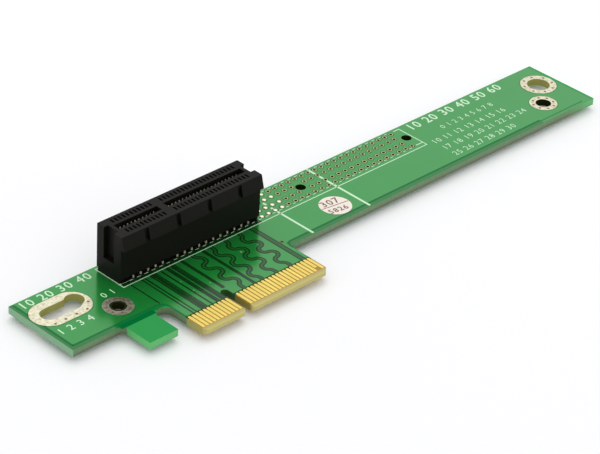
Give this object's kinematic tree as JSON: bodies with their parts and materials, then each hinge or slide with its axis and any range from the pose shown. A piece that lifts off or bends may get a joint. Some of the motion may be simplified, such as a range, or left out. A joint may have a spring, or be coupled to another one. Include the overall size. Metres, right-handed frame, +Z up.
{
  "type": "pcie riser card",
  "caption": "Long narrow green riser card with a keyed gold edge tab, an upright four-lane card socket, spare socket holes and plated mounting holes.",
  "frame": {"origin": "middle of the card's own box on the ground, under the tips of the socket's solder tails", "axes": "+X along the board towards its plain end, +Y from the edge tab towards the back edge, +Z up out of the socket"},
  "size_m": [0.1562, 0.0314, 0.0138],
  "materials": {
    "solder_mask": "glossy green solder mask on laminate",
    "socket_plastic": "black moulded plastic, satin",
    "contact_metal": "gold-plated copper alloy",
    "solder": "bright solder",
    "tinned_copper": "dull tin over copper, warm",
    "gold": "polished gold plating",
    "label_paper": "cream paper"
  },
  "bodies": {
    "root": {"circuit_board": "solder_mask", "slot_housing": "socket_plastic", "contacts_front_inner": "contact_metal", "contacts_front_outer": "contact_metal", "contacts_back_inner": "contact_metal", "contacts_back_outer": "contact_metal", "solder_plugs_front": "solder", "solder_plugs_back": "solder", "mounting_hole_lands": "tinned_copper", "tooling_hole_lands": "tinned_copper", "edge_fingers_top_short": "gold", "edge_fingers_top_long": "gold", "edge_fingers_bottom_short": "gold", "edge_fingers_bottom_long": "gold", "inspection_label": "label_paper"}
  },
  "joints": []
}
